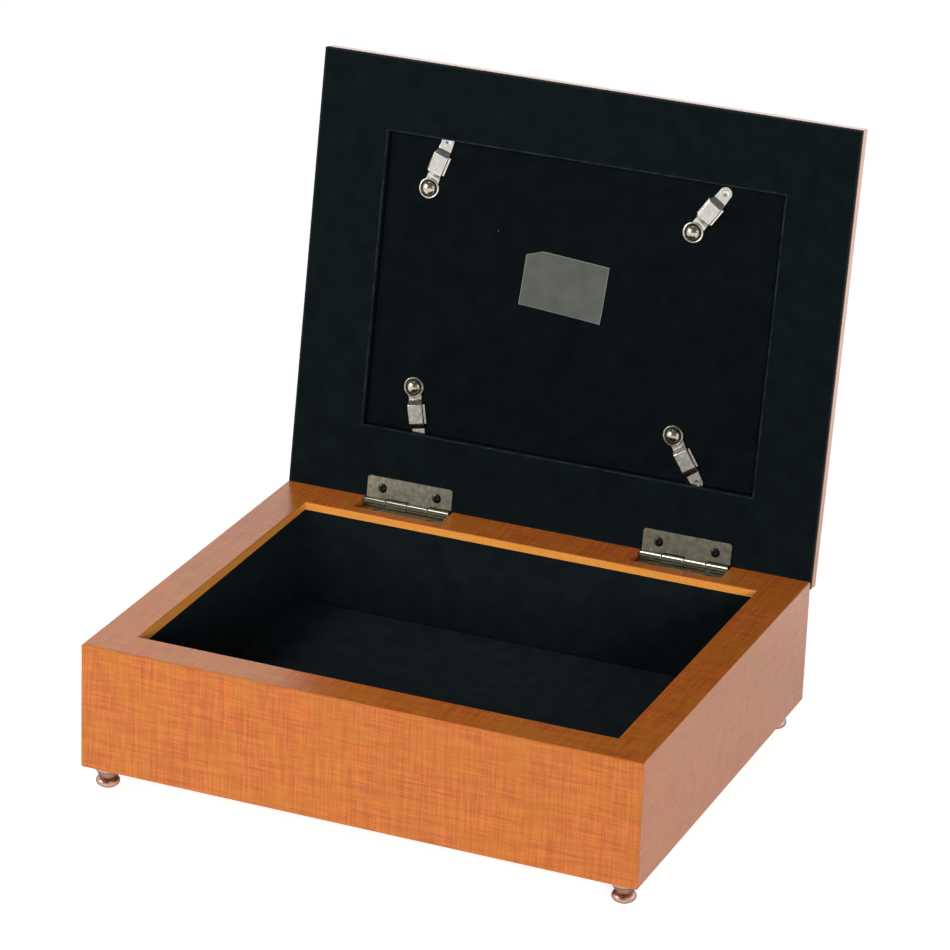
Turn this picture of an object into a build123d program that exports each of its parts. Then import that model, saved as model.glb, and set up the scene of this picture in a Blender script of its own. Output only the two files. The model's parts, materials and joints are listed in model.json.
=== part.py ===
from build123d import *
import math
import os

# Keepsake box: a mitred wooden body on four turned feet, lined with velvet, under a lid that is a
# picture frame. Four turn clips hold the lid's backing board, and two butt hinges carry the lid.
# Millimetres. X points right as seen from the front, Y to the back and Z up. The origin is on the
# surface that the feet stand on, under the middle of the body. The lid is open, against its stop.

# Body
body_width = 242.5
body_depth = 196.8
body_height = 54.5
edge_round = 0.7            # on every outer edge of the body and the lid frame
side_rim = 17.25            # flat top of the left and right walls
front_rim = 17.2
rear_rim = 19.5             # wider, because it takes the hinges
lip_height_front = 4.75     # bare wood above the lining
lip_height_rear = 3.4       # less than at the front, because the lining rises towards the back
lip_round = 0.5
bottom_thickness = 5.0
bottom_bearing = 3.0        # how far the bottom panel reaches into the walls' rebate
panel_clearance = 0.15      # round the bottom panel in its rebate

# Lining
liner_thickness = 3.0
liner_setback = 0.5         # of the lining behind the wooden lip
floor_liner_thickness = 2.5
liner_clearance = 0.1       # between neighbouring liners, and from the floor liner to the walls

# Feet
foot_height = 10.4
foot_inset = 8.3            # of the feet's axes from the front and the sides
foot_inset_rear = 11.0
foot_flange_radius = 5.6
foot_flange_edge = 2.0
foot_neck_radius = 3.7
foot_collar_hollow = 0.1    # depth of the collar's concave curve
foot_ball_radius = 5.0
foot_ball_half_height = 2.95
foot_pad_radius = 1.25      # flat that the foot stands on
stud_radius = 1.95
stud_in_foot = 7.0
stud_in_wall = 10.0
stud_clearance = 0.05

# Lid
lid_open_angle = 98.5       # from closed to the stop
stop_clearance = 0.05       # between the lid's rear edge and the back of the body at the stop
closed_gap = 0.4            # between the lid's velvet and the rim when the lid is closed
velvet_thickness = 0.3
velvet_margin = 0.9         # bare edge round the lid's velvet
velvet_rear_margin = 4.2    # bare edge beside the hinge barrels
back_panel_thickness = 1.5
opening_width = 180.1       # takes a 177.8 by 127 picture
opening_height = 129.8
opening_shift_x = 1.3       # of the opening from the middle of the lid
opening_shift_y = 1.7
tip_channel_x = 4.4         # shallow channel for the clips' tips, beyond the opening's sides
tip_channel_y = 5.9         # and beyond its front and rear
tip_channel_clearance = 0.15
sight_lip = 6.0             # frame in front of the glass
sight_lip_thickness = 1.6
sight_bevel = 0.8
glass_thickness = 1.2
card_thickness = 0.4
board_thickness = 1.2
rebate_clearance = 0.6      # round the glass, the picture card and the backing board

# Label on the backing board
label_width = 37.8
label_height = 25.0
label_thickness = 0.2
label_shift_x = -4.3        # from the middle of the backing board
label_shift_y = 10.4
label_turn = 4.1
label_fold_x = 7.3          # folded corner
label_fold_y = 2.9

# Hinges
hinge_length = 40.0
hinge_inset = 36.95         # from the side of the body to the near end of the hinge
hinge_shift_x = 0.95        # of both hinges, to the right
knuckle_count = 4
knuckle_gap = 0.3
knuckle_slit = 0.25         # open seam where a rolled knuckle ends above its leaf
knuckle_relief = 0.3        # free space between the barrel and the wood
pin_radius = 1.15
pin_clearance = 0.05
pin_end_recess = 0.2
leaf_thickness = 0.9
leaf_reach = 11.5           # from the hinge axis to the leaf's edge
leaf_corner_radius = 1.2
pocket_end_clearance = 0.8  # beside the leaf's ends
pocket_front_clearance = 0.6
screw_spacing = 25.6
screw_offset = 6.6          # of the screws from the hinge axis
screw_head_radius = 2.1
screw_shank_radius = 1.1
screw_dome = 0.25
screw_clearance = 0.05
screw_cross_width = 0.55
screw_cross_length = 2.3
screw_cross_depth = 0.5
base_screw_length = 9.0     # below the head
lid_screw_length = 5.4
screw_point = 1.0

# Turn clips and their rivets
clip_insets = {             # of each rivet from the opening's side, and from its front or rear
    "front_left": (20.3, 22.2),
    "front_right": (39.2, 22.2),
    "rear_left": (21.7, 19.9),
    "rear_right": (38.5, 19.6),
}
clip_thickness = 0.6
clip_slack = 0.4            # of a tip behind the back panel
clip_eye_radius = 4.6
clip_neck_width = 6.0
clip_rise_start = 5.6       # distances along the clip, from its rivet
clip_bridge_start = 7.6
clip_bridge_end = 16.2
clip_fall_end = 18.2
clip_dimple_distance = 22.5
clip_rise = 1.8
clip_bridge_width = 6.8
clip_skirt_depth = 1.1      # sides of the bridge, turned down
clip_skirt_flare = 0.8
clip_tip_radius = 2.7
clip_dimple_radius = 1.2     # pressed into the tip
clip_dimple_depth = 0.35
clip_angles = {             # from the lid's front edge, towards the right, as the inside is seen
    "front_left": 17.8,
    "front_right": 34.0,
    "rear_left": 168.2,
    "rear_right": 145.5,
}
rivet_head_radius = 3.0
rivet_head_edge = 0.3
rivet_head_height = 1.9
rivet_head_flat = 0.4       # radius of the small flat on the dome's top
rivet_shank_radius = 1.25
rivet_clearance = 0.05
rivet_foot_radius = 2.2
rivet_foot_thickness = 0.4

# Heights in the body
underside_z = foot_height
rim_z = foot_height + body_height
floor_panel_z = underside_z + bottom_thickness
floor_z = floor_panel_z + floor_liner_thickness
front_lip_z = rim_z - lip_height_front
rear_lip_z = rim_z - lip_height_rear

# Plan of the body
half_width = body_width / 2
half_depth = body_depth / 2
opening_half_x = half_width - side_rim
opening_front_y = -half_depth + front_rim
opening_rear_y = half_depth - rear_rim
liner_offset = liner_thickness + liner_setback
cavity_half_x = opening_half_x + liner_offset
cavity_front_y = opening_front_y - liner_offset
cavity_rear_y = opening_rear_y + liner_offset

# Hinge axis: the lid's bare rear edge meets the back of the body just as the lid reaches its stop
barrel_radius = pin_radius + pin_clearance + leaf_thickness
lean_back = math.radians(lid_open_angle - 90)
panel_standoff = barrel_radius + velvet_thickness
hinge_setback = (panel_standoff * math.cos(lean_back) - stop_clearance) / (1 + math.sin(lean_back))
hinge_y = half_depth - hinge_setback
hinge_z = rim_z - barrel_radius + closed_gap
hinge_x = half_width - hinge_inset - hinge_length / 2
pocket_z = hinge_z - barrel_radius

# The lid is drawn in a frame of its own: x as in the body, y from its rear edge to its front edge and
# z out of its velvet face, towards the inside of the box
back_panel_z = -velvet_thickness
frame_z = back_panel_z - back_panel_thickness
clip_slot = clip_thickness + clip_slack
board_velvet_z = frame_z - clip_slot
board_z = board_velvet_z - velvet_thickness
card_z = board_z - board_thickness
glass_z = card_z - card_thickness
sight_lip_z = glass_z - glass_thickness
lid_face_z = sight_lip_z - sight_lip_thickness
lid_center_y = half_depth
opening_center_y = lid_center_y + opening_shift_y
clip_places = {}
for name, (inset_x, inset_y) in clip_insets.items():
    x = opening_width / 2 - inset_x
    y = opening_height / 2 - inset_y
    clip_places[name] = (
        opening_shift_x + (x if name.endswith("right") else -x),
        opening_center_y + (y if name.startswith("front") else -y),
    )
lid_at_stop = (
    Pos(0, hinge_y, hinge_z)
    * Rot(180 - lid_open_angle, 0, 0)
    * Pos(0, -hinge_setback, -barrel_radius)
)

reach_through = 1.0         # how far a cutting tool runs past a face


def block(low, high):
    """A box between two corners."""
    size = [b - a for a, b in zip(low, high)]
    middle = [(a + b) / 2 for a, b in zip(low, high)]
    return Pos(*middle) * Box(*size)


def slab(width, height, center, low_z, high_z):
    """A plate of a given width and height about a centre, between two levels."""
    x, y = center
    return block((x - width / 2, y - height / 2, low_z), (x + width / 2, y + height / 2, high_z))


def peg(radius, low_z, high_z, place=(0, 0)):
    """An upright cylinder between two levels."""
    return Pos(*place, (low_z + high_z) / 2) * Cylinder(radius, high_z - low_z)


def rod_along_x(radius, low_x, high_x):
    return Pos((low_x + high_x) / 2, 0, 0) * Rot(0, 90, 0) * Cylinder(radius, high_x - low_x)


def mitre_quarters(outer, inner, low_z, high_z):
    """Four wedges that part a frame at its mitres. outer and inner are (left, front, right, rear)."""
    def corners(rect):
        left, front, right, rear = rect
        return [(left, front), (right, front), (right, rear), (left, rear)]

    past_inner = 1.05
    outside = corners(outer)
    inside = [
        (a[0] + (b[0] - a[0]) * past_inner, a[1] + (b[1] - a[1]) * past_inner)
        for a, b in zip(outside, corners(inner))
    ]
    quarters = {}
    for k, side in enumerate(("front", "right", "rear", "left")):
        n = (k + 1) % 4
        plan = make_face(Polyline(outside[k], outside[n], inside[n], inside[k], close=True))
        quarters[side] = Pos(0, 0, low_z) * extrude(plan, amount=high_z - low_z)
    return quarters


def rounded_block(low, high, radius, square_face=None):
    """A box with rounded edges, apart from those of one face that stays square."""
    solid = block(low, high)
    edges = solid.edges()
    if square_face is not None:
        edges = [e for e in edges if abs(e.center().Z - square_face) > radius / 10]
    return fillet(edges, radius)


def hinge_centers():
    return {"left": hinge_shift_x - hinge_x, "right": hinge_shift_x + hinge_x}


def screw_xs(center_x):
    return [center_x - screw_spacing / 2, center_x + screw_spacing / 2]


def foot_centers():
    x = half_width - foot_inset
    front, rear = foot_inset - half_depth, half_depth - foot_inset_rear
    return {
        "front_left": (-x, front),
        "front_right": (x, front),
        "rear_left": (-x, rear),
        "rear_right": (x, rear),
    }


# Body

def below_lip():
    """Everything below the wooden lip, whose lower edge rises towards the back."""
    profile = Polyline(
        (cavity_front_y, 0),
        (cavity_rear_y, 0),
        (cavity_rear_y, rear_lip_z),
        (cavity_front_y, front_lip_z),
        close=True,
    )
    return extrude(Plane.YZ * make_face(profile), amount=cavity_half_x, both=True)


def on_lip(point):
    """Whether a point is on the sharp edge where the rim meets the opening."""
    near = lip_round / 10
    return (
        abs(point.Z - rim_z) < near
        and abs(point.X) < opening_half_x + near
        and opening_front_y - near < point.Y < opening_rear_y + near
    )


def body_walls():
    """The four mitred walls, with the lip, the bottom rebate, the hinge pockets and the bores."""
    shell = rounded_block(
        (-half_width, -half_depth, underside_z), (half_width, half_depth, rim_z), edge_round
    )
    shell -= block(
        (-opening_half_x, opening_front_y, underside_z - reach_through),
        (opening_half_x, opening_rear_y, rim_z + reach_through),
    )
    shell -= below_lip()
    shell -= block(
        (-cavity_half_x - bottom_bearing, cavity_front_y - bottom_bearing, underside_z - reach_through),
        (cavity_half_x + bottom_bearing, cavity_rear_y + bottom_bearing, floor_panel_z),
    )
    half_pocket = hinge_length / 2 + pocket_end_clearance
    pocket_front = hinge_y - leaf_reach - pocket_front_clearance
    groove_front = hinge_y - barrel_radius - knuckle_relief
    for x in hinge_centers().values():
        shell -= block(
            (x - half_pocket, pocket_front, pocket_z),
            (x + half_pocket, half_depth + reach_through, rim_z + reach_through),
        )
        shell -= block(
            (x - half_pocket, groove_front, pocket_z - knuckle_relief),
            (x + half_pocket, half_depth + reach_through, pocket_z),
        )
        for screw_x in screw_xs(x):
            shell -= peg(
                screw_shank_radius + screw_clearance,
                pocket_z + leaf_thickness - base_screw_length - reach_through,
                rim_z,
                (screw_x, hinge_y - screw_offset),
            )
    for center in foot_centers().values():
        shell -= peg(
            stud_radius + stud_clearance,
            underside_z - reach_through,
            underside_z + stud_in_wall + stud_clearance,
            center,
        )
    quarters = mitre_quarters(
        (-half_width, -half_depth, half_width, half_depth),
        (-opening_half_x, opening_front_y, opening_half_x, opening_rear_y),
        underside_z - reach_through,
        rim_z + reach_through,
    )
    walls = {}
    for side, wedge in quarters.items():
        wall = shell & wedge
        walls[f"{side}_wall"] = fillet([e for e in wall.edges() if on_lip(e.center())], lip_round)
    return walls


def bottom_panel():
    bearing = bottom_bearing - panel_clearance
    return block(
        (-cavity_half_x - bearing, cavity_front_y - bearing, underside_z),
        (cavity_half_x + bearing, cavity_rear_y + bearing, floor_panel_z),
    )


def liner(low, high):
    """A board that stands on the floor liner and reaches up to the lip."""
    return block((*low, floor_z), (*high, rim_z)) & below_lip()


def lining():
    """Velvet-covered boards: one on the floor, and four that stand on it against the walls."""
    gap = liner_clearance
    face = liner_thickness
    left, right = -cavity_half_x, cavity_half_x
    front, rear = cavity_front_y, cavity_rear_y
    return {
        "floor_liner": block(
            (left + gap, front + gap, floor_panel_z), (right - gap, rear - gap, floor_z)
        ),
        "front_liner": liner((left + gap, front), (right - gap, front + face)),
        "rear_liner": liner((left + gap, rear - face), (right - gap, rear)),
        "left_liner": liner((left, front + face + gap), (left + face, rear - face - gap)),
        "right_liner": liner((right - face, front + face + gap), (right, rear - face - gap)),
    }


def foot():
    """A turned foot about Z: a flat ball under a flared collar, bored for its stud."""
    ball_z = foot_ball_half_height * math.sqrt(1 - (foot_pad_radius / foot_ball_radius) ** 2)
    neck_rise = foot_ball_half_height * math.sqrt(1 - (foot_neck_radius / foot_ball_radius) ** 2)
    pad_angle = -math.degrees(math.acos(foot_pad_radius / foot_ball_radius))
    neck_angle = math.degrees(math.acos(foot_neck_radius / foot_ball_radius))
    ball = EllipticalCenterArc(
        (0, ball_z),
        foot_ball_radius,
        foot_ball_half_height,
        pad_angle,
        arc_size=neck_angle - pad_angle,
    )
    flange_z = foot_height - foot_flange_edge
    hollow = (
        (foot_neck_radius + foot_flange_radius) / 2 - foot_collar_hollow,
        (ball_z + neck_rise + flange_z) / 2 + foot_collar_hollow,
    )
    collar = ThreePointArc(ball @ 1, hollow, (foot_flange_radius, flange_z))
    outline = [
        Line((0, 0), ball @ 0),
        ball,
        collar,
        Polyline(collar @ 1, (foot_flange_radius, foot_height), (0, foot_height), (0, 0)),
    ]
    profile = Plane.XZ * make_face(outline)
    bore = peg(stud_radius + stud_clearance, foot_height - stud_in_foot, foot_height + reach_through)
    return revolve(profile, axis=Axis.Z) - bore


def foot_studs():
    low, high = underside_z - stud_in_foot + stud_clearance, underside_z + stud_in_wall
    ends = stud_radius / 4
    stud = peg(stud_radius, low, high)
    stud = chamfer(stud.edges().filter_by(GeomType.CIRCLE), ends)
    return [Pos(x, y, 0) * stud for x, y in foot_centers().values()]


# Hinges, drawn with the axis along X, the wood below z = -barrel_radius and the leaf towards +Y

def knuckle_spans(first):
    """Ends of every second knuckle, from a given one on."""
    pitch = hinge_length / knuckle_count
    return [
        (k * pitch - hinge_length / 2, (k + 1) * pitch - hinge_length / 2)
        for k in range(first, knuckle_count, 2)
    ]


def screw_hole(x):
    """Countersunk hole through a leaf, standing on the wood."""
    top = screw_head_radius + screw_clearance
    low = screw_shank_radius + screw_clearance
    hole = Pos(0, 0, leaf_thickness / 2) * Cone(low, top, leaf_thickness)
    return Pos(x, screw_offset, -barrel_radius) * hole


def hinge_leaf():
    """One leaf. It has the first and third knuckles from -X, and both leaves of a hinge are alike."""
    top = leaf_thickness - barrel_radius
    plate = block((-hinge_length / 2, 0, -barrel_radius), (hinge_length / 2, leaf_reach, top))
    outer_corners = [
        e for e in plate.edges().filter_by(Axis.Z) if e.center().Y > leaf_reach / 2
    ]
    leaf = fillet(outer_corners, leaf_corner_radius)
    for low, high in knuckle_spans(1):
        leaf -= block(
            (low - knuckle_gap / 2, -reach_through, -barrel_radius - reach_through),
            (high + knuckle_gap / 2, barrel_radius + knuckle_relief, barrel_radius),
        )
    bore_radius = pin_radius + pin_clearance
    for low, high in knuckle_spans(0):
        knuckle = rod_along_x(barrel_radius, low + knuckle_gap / 2, high - knuckle_gap / 2)
        leaf += knuckle - block(
            (low, bore_radius * 2 / 3, top), (high, barrel_radius, top + knuckle_slit)
        )
    leaf -= rod_along_x(bore_radius, -hinge_length, hinge_length)
    for x in screw_xs(0):
        leaf -= screw_hole(x)
    return leaf


def hinge_pin():
    half = hinge_length / 2 - pin_end_recess
    pin = rod_along_x(pin_radius, -half, half)
    return chamfer(pin.edges().filter_by(GeomType.CIRCLE), pin_radius / 6)


def screw(length):
    """Countersunk screw with a low domed head and a cross recess, its head's rim at z = 0."""
    head_depth = leaf_thickness - screw_clearance
    dome = (screw_head_radius**2 + screw_dome**2) / (2 * screw_dome)
    cap = Pos(0, 0, screw_dome - dome) * Sphere(dome) & peg(screw_head_radius, 0, 2 * screw_dome)
    head = Pos(0, 0, -head_depth / 2) * Cone(screw_shank_radius, screw_head_radius, head_depth)
    shank = peg(screw_shank_radius, screw_point - length, -head_depth)
    point = Cone(screw_shank_radius / 4, screw_shank_radius, screw_point)
    point = Pos(0, 0, screw_point / 2 - length) * point
    solid = head + cap + shank + point
    for size in ((screw_cross_length, screw_cross_width), (screw_cross_width, screw_cross_length)):
        solid -= slab(*size, (0, 0), screw_dome - screw_cross_depth, 2 * screw_dome)
    return solid


def base_hinge_place(center_x):
    """From a leaf's frame to the body: turned end for end, so that the leaf runs to the front."""
    return Pos(center_x, hinge_y, hinge_z) * Rot(0, 0, 180)


def lid_hinge_place(center_x):
    return Pos(center_x, hinge_setback, barrel_radius)


def screws(place, length):
    level = leaf_thickness - barrel_radius
    return [
        place(center) * Pos(x, screw_offset, level) * screw(length)
        for center in hinge_centers().values()
        for x in screw_xs(0)
    ]


# Lid, in its own frame

def lid_screw_bores(low_z):
    """Bores for the lid's hinge screws, from a level up through the velvet."""
    return [
        peg(screw_shank_radius + screw_clearance, low_z, reach_through, (x, hinge_setback + screw_offset))
        for center in hinge_centers().values()
        for x in screw_xs(center)
    ]


def opening(low_z, high_z, clearance=0.0):
    return slab(
        opening_width - 2 * clearance,
        opening_height - 2 * clearance,
        (opening_shift_x, opening_center_y),
        low_z,
        high_z,
    )


def lid_frame():
    """Four mitred rails, rebated to the size of the opening and with a channel for the clips' tips."""
    frame = rounded_block(
        (-half_width, 0, lid_face_z), (half_width, body_depth, frame_z), edge_round, square_face=frame_z
    )
    frame -= opening(sight_lip_z, frame_z + reach_through)
    frame -= slab(
        opening_width + 2 * tip_channel_x,
        opening_height + 2 * tip_channel_y,
        (0, opening_center_y),
        board_velvet_z - tip_channel_clearance,
        frame_z + reach_through,
    )
    sight_width, sight_height = opening_width - 2 * sight_lip, opening_height - 2 * sight_lip
    frame -= slab(
        sight_width, sight_height, (0, lid_center_y), lid_face_z - reach_through, sight_lip_z + reach_through
    )
    sight_edges = [
        e
        for e in frame.edges().filter_by_position(
            Axis.Z, lid_face_z - sight_bevel / 10, lid_face_z + sight_bevel / 10
        )
        if abs(e.center().X) < opening_width / 2
        and abs(e.center().Y - lid_center_y) < opening_height / 2
    ]
    frame = chamfer(sight_edges, sight_bevel)
    for bore in lid_screw_bores(leaf_thickness - lid_screw_length - screw_clearance):
        frame -= bore
    quarters = mitre_quarters(
        (-half_width, 0, half_width, body_depth),
        (
            -sight_width / 2,
            lid_center_y - sight_height / 2,
            sight_width / 2,
            lid_center_y + sight_height / 2,
        ),
        lid_face_z - reach_through,
        frame_z + reach_through,
    )
    names = {"front": "rear", "rear": "front"}  # the lid's y runs from its rear edge to its front edge
    return {f"lid_{names.get(side, side)}_rail": frame & wedge for side, wedge in quarters.items()}


def lid_back_panel():
    panel = block((-half_width, 0, frame_z), (half_width, body_depth, back_panel_z))
    panel = fillet(panel.edges().filter_by(Axis.Z), edge_round)
    panel -= opening(frame_z - reach_through, reach_through)
    for bore in lid_screw_bores(frame_z - reach_through):
        panel -= bore
    return panel


def lid_velvet():
    velvet = block(
        (velvet_margin - half_width, velvet_rear_margin, back_panel_z),
        (half_width - velvet_margin, body_depth - velvet_margin, 0),
    )
    velvet -= opening(back_panel_z - reach_through, reach_through)
    for bore in lid_screw_bores(back_panel_z - reach_through):
        velvet -= bore
    return velvet


def backing_board():
    board = opening(card_z, board_z, rebate_clearance)
    for place in clip_places.values():
        board -= peg(
            rivet_shank_radius + rivet_clearance, card_z - reach_through, board_z + reach_through, place
        )
        board -= peg(
            rivet_foot_radius + rivet_clearance,
            card_z - reach_through,
            card_z + rivet_foot_thickness + rivet_clearance,
            place,
        )
    return board


def board_velvet():
    velvet = opening(board_z, board_velvet_z, rebate_clearance)
    for place in clip_places.values():
        velvet -= peg(
            rivet_shank_radius + rivet_clearance, board_z - reach_through, reach_through, place
        )
    return velvet


def board_label():
    """A bare label, laid a little askew, with one corner folded away."""
    x, y = label_width / 2, label_height / 2
    outline = Polyline(
        (-x, -y), (x, -y), (x, y), (label_fold_x - x, y), (-x, y - label_fold_y), close=True
    )
    sheet = extrude(make_face(outline), amount=label_thickness)
    place = Pos(opening_shift_x + label_shift_x, opening_center_y + label_shift_y, board_velvet_z)
    return place * Rot(0, 0, -label_turn) * sheet


# Turn clips, drawn along +Y from the rivet, lying on z = 0

def clip():
    t = clip_thickness
    tip_end = clip_dimple_distance + clip_tip_radius
    underside = [
        (-clip_eye_radius, 0),
        (clip_rise_start, 0),
        (clip_bridge_start, clip_rise),
        (clip_bridge_end, clip_rise),
        (clip_fall_end, 0),
        (tip_end, 0),
    ]
    topside = [(y, z + t) for y, z in reversed(underside)]
    widest = 2 * clip_eye_radius
    strip = Pos(-widest / 2, 0, 0) * extrude(
        Plane.YZ * make_face(Polyline(*underside, *topside, close=True)), amount=widest
    )
    neck, bridge, tip = clip_neck_width / 2, clip_bridge_width / 2, clip_tip_radius
    outline = Polyline(
        (-neck, 0),
        (neck, 0),
        (neck, clip_rise_start),
        (bridge, clip_bridge_start),
        (bridge, clip_bridge_end),
        (neck, clip_fall_end),
        (tip, clip_dimple_distance),
        (-tip, clip_dimple_distance),
        (-neck, clip_fall_end),
        (-bridge, clip_bridge_end),
        (-bridge, clip_bridge_start),
        (-neck, clip_rise_start),
        close=True,
    )
    high = clip_rise + 2 * t
    plan = extrude(make_face(outline), amount=high)
    plan += peg(clip_eye_radius, 0, high) + peg(tip, 0, high, (0, clip_dimple_distance))
    solid = strip & plan
    for side in (-1, 1):
        skirt = Polyline(
            (side * bridge, clip_rise + t / 2),
            (side * (bridge - t), clip_rise + t / 2),
            (side * (bridge - t), clip_rise - clip_skirt_depth + t),
            (side * (bridge - t + clip_skirt_flare), clip_rise - clip_skirt_depth),
            (side * (bridge + clip_skirt_flare), clip_rise - clip_skirt_depth),
            (side * bridge, clip_rise - clip_skirt_depth + t),
            close=True,
        )
        length = clip_bridge_end - clip_bridge_start
        solid += Pos(0, clip_bridge_end, 0) * extrude(Plane.XZ * make_face(skirt), amount=length)
    solid -= peg(rivet_shank_radius + rivet_clearance, -reach_through, high)
    dimple_z = t - clip_dimple_depth
    solid -= peg(clip_dimple_radius, dimple_z, high, (0, clip_dimple_distance))
    return solid


def clip_at(name):
    x, y = clip_places[name]
    return Pos(x, y, board_velvet_z) * Rot(0, 0, -clip_angles[name]) * clip()


def rivet():
    """Domed rivet whose shank runs through a clip's eye into the backing board."""
    head_z = clip_thickness + rivet_clearance
    foot_z = card_z - board_velvet_z
    dome = EllipticalCenterArc(
        (0, head_z + rivet_head_edge),
        rivet_head_radius,
        rivet_head_height - rivet_head_edge,
        arc_size=math.degrees(math.acos(rivet_head_flat / rivet_head_radius)),
    )
    steps = Polyline(
        dome @ 1,
        (0, (dome @ 1).Y),
        (0, foot_z),
        (rivet_foot_radius, foot_z),
        (rivet_foot_radius, foot_z + rivet_foot_thickness),
        (rivet_shank_radius, foot_z + rivet_foot_thickness),
        (rivet_shank_radius, head_z),
        (rivet_head_radius, head_z),
        dome @ 0,
    )
    return revolve(Plane.XZ * make_face([dome, steps]), axis=Axis.Z)


def base_nodes():
    nodes = body_walls()
    nodes["bottom_panel"] = bottom_panel()
    nodes.update(lining())
    for corner, (x, y) in foot_centers().items():
        nodes[f"foot_{corner}"] = Pos(x, y, 0) * foot()
    nodes["foot_studs"] = foot_studs()
    for side, x in hinge_centers().items():
        nodes[f"{side}_hinge_base_leaf"] = base_hinge_place(x) * hinge_leaf()
        nodes[f"{side}_hinge_pin"] = base_hinge_place(x) * hinge_pin()
    nodes["base_hinge_screws"] = screws(base_hinge_place, base_screw_length)
    return nodes


def lid_nodes():
    nodes = lid_frame()
    nodes["lid_back_panel"] = lid_back_panel()
    nodes["lid_velvet"] = lid_velvet()
    nodes["window_glass"] = opening(sight_lip_z, glass_z, rebate_clearance)
    nodes["picture_card"] = opening(glass_z, card_z, rebate_clearance)
    nodes["backing_board"] = backing_board()
    nodes["board_velvet"] = board_velvet()
    nodes["board_label"] = board_label()
    for side, x in hinge_centers().items():
        nodes[f"{side}_hinge_lid_leaf"] = lid_hinge_place(x) * hinge_leaf()
    nodes["lid_hinge_screws"] = screws(lid_hinge_place, lid_screw_length)
    nodes["clip_rivets"] = [Pos(x, y, board_velvet_z) * rivet() for x, y in clip_places.values()]
    for name in clip_places:
        nodes[f"clip_{name}"] = clip_at(name)
    return nodes


def placed(shape, place):
    """One solid, or a list of solids as one group, at its place."""
    if isinstance(shape, list):
        return Compound(children=[place * s for s in shape])
    return place * shape


os.makedirs("parts", exist_ok=True)
for name, shape in base_nodes().items():
    export_step(placed(shape, Pos(0, 0, 0)), f"parts/{name}.step")
for name, shape in lid_nodes().items():
    export_step(placed(shape, lid_at_stop), f"parts/{name}.step")

axis = (lid_at_stop * Pos(0, 0, 1)).position - lid_at_stop.position
print("hinge axis through", (0, round(hinge_y, 4), round(hinge_z, 4)), "opens", lid_open_angle)
print("rim at", rim_z, "floor at", floor_z, "lid thickness", round(-lid_face_z, 3))
print("clip axis", [round(v, 6) for v in axis])
for name, (x, y) in clip_places.items():
    point = (lid_at_stop * Pos(x, y, board_velvet_z)).position
    print("clip", name, [round(v, 4) for v in point])
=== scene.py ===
import json
import math

import bmesh
import bpy
from mathutils import Matrix, Vector


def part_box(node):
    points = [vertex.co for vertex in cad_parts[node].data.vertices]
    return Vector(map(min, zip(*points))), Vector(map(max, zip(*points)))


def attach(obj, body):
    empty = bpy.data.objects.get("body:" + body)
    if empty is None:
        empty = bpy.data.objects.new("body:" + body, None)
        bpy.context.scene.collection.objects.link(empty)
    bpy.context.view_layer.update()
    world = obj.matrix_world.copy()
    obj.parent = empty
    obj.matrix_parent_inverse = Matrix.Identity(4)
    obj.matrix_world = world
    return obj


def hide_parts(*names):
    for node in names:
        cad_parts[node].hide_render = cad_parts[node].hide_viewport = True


# Keepsake box with a picture-frame lid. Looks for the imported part: metres, Z up, lid open at rest.

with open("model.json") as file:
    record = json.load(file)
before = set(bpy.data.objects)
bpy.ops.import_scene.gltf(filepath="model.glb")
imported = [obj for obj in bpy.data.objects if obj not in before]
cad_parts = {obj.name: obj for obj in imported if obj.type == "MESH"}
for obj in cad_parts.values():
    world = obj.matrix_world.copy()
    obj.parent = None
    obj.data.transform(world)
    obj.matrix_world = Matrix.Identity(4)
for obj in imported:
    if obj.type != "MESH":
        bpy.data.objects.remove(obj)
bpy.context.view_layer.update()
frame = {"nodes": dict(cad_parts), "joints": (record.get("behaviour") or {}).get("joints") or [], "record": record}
nodes = frame["nodes"]
print("frame loaded:", len(nodes), "nodes")

mm = 0.001
jointOf = {joint["name"]: joint for joint in frame["joints"]}
slotOf = {part["node"]: part["material_slot"] for part in frame["record"]["subparts"]}
bodyOf = {node: body for body, names in frame["record"]["behaviour"]["bodies"].items() for node in names}

# The lid's own axes: x as in the body, y from the hinge to the lid's front edge, z out of its velvet
lidHinge = jointOf["lid_hinge"]
lidTurn = math.pi - math.radians(lidHinge["range_deg"][1])
lidSpace = Matrix.Translation(lidHinge["pos_m"]) @ Matrix.Rotation(lidTurn, 4, "X")
lidFromWorld = lidSpace.inverted()


def lidBox(node):
    # lowest and highest corner of a lid node, in the lid's own axes
    points = [lidFromWorld @ vertex.co for vertex in nodes[node].data.vertices]
    return (Vector([min(p[k] for p in points) for k in range(3)]),
            Vector([max(p[k] for p in points) for k in range(3)]))


# materials

def linear(hexColor):
    # an sRGB hex colour as linear light
    def channel(k):
        c = int(hexColor[k:k + 2], 16) / 255
        return c / 12.92 if c <= 0.04045 else ((c + 0.055) / 1.055) ** 2.4
    return (channel(0), channel(2), channel(4), 1)


def addNode(owner, kind, settings=None):
    # Adds a shader node to a material or the world. A setting is a property or an input. An input takes
    # a plain value, a hex colour, an output, or another node, which then gives its first output.
    node = owner.node_tree.nodes.new("ShaderNode" + kind)
    for key, value in (settings or {}).items():
        if not isinstance(key, int) and key not in node.inputs:
            setattr(node, key, value)
        elif isinstance(value, (bpy.types.Node, bpy.types.NodeSocket)):
            output = value.outputs[0] if isinstance(value, bpy.types.Node) else value
            owner.node_tree.links.new(output, node.inputs[key])
        else:
            node.inputs[key].default_value = linear(value) if isinstance(value, str) else value
    return node


def newMaterial(name):
    material = bpy.data.materials.new(name)
    material.use_nodes = True
    material.node_tree.nodes.clear()
    return material


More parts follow.
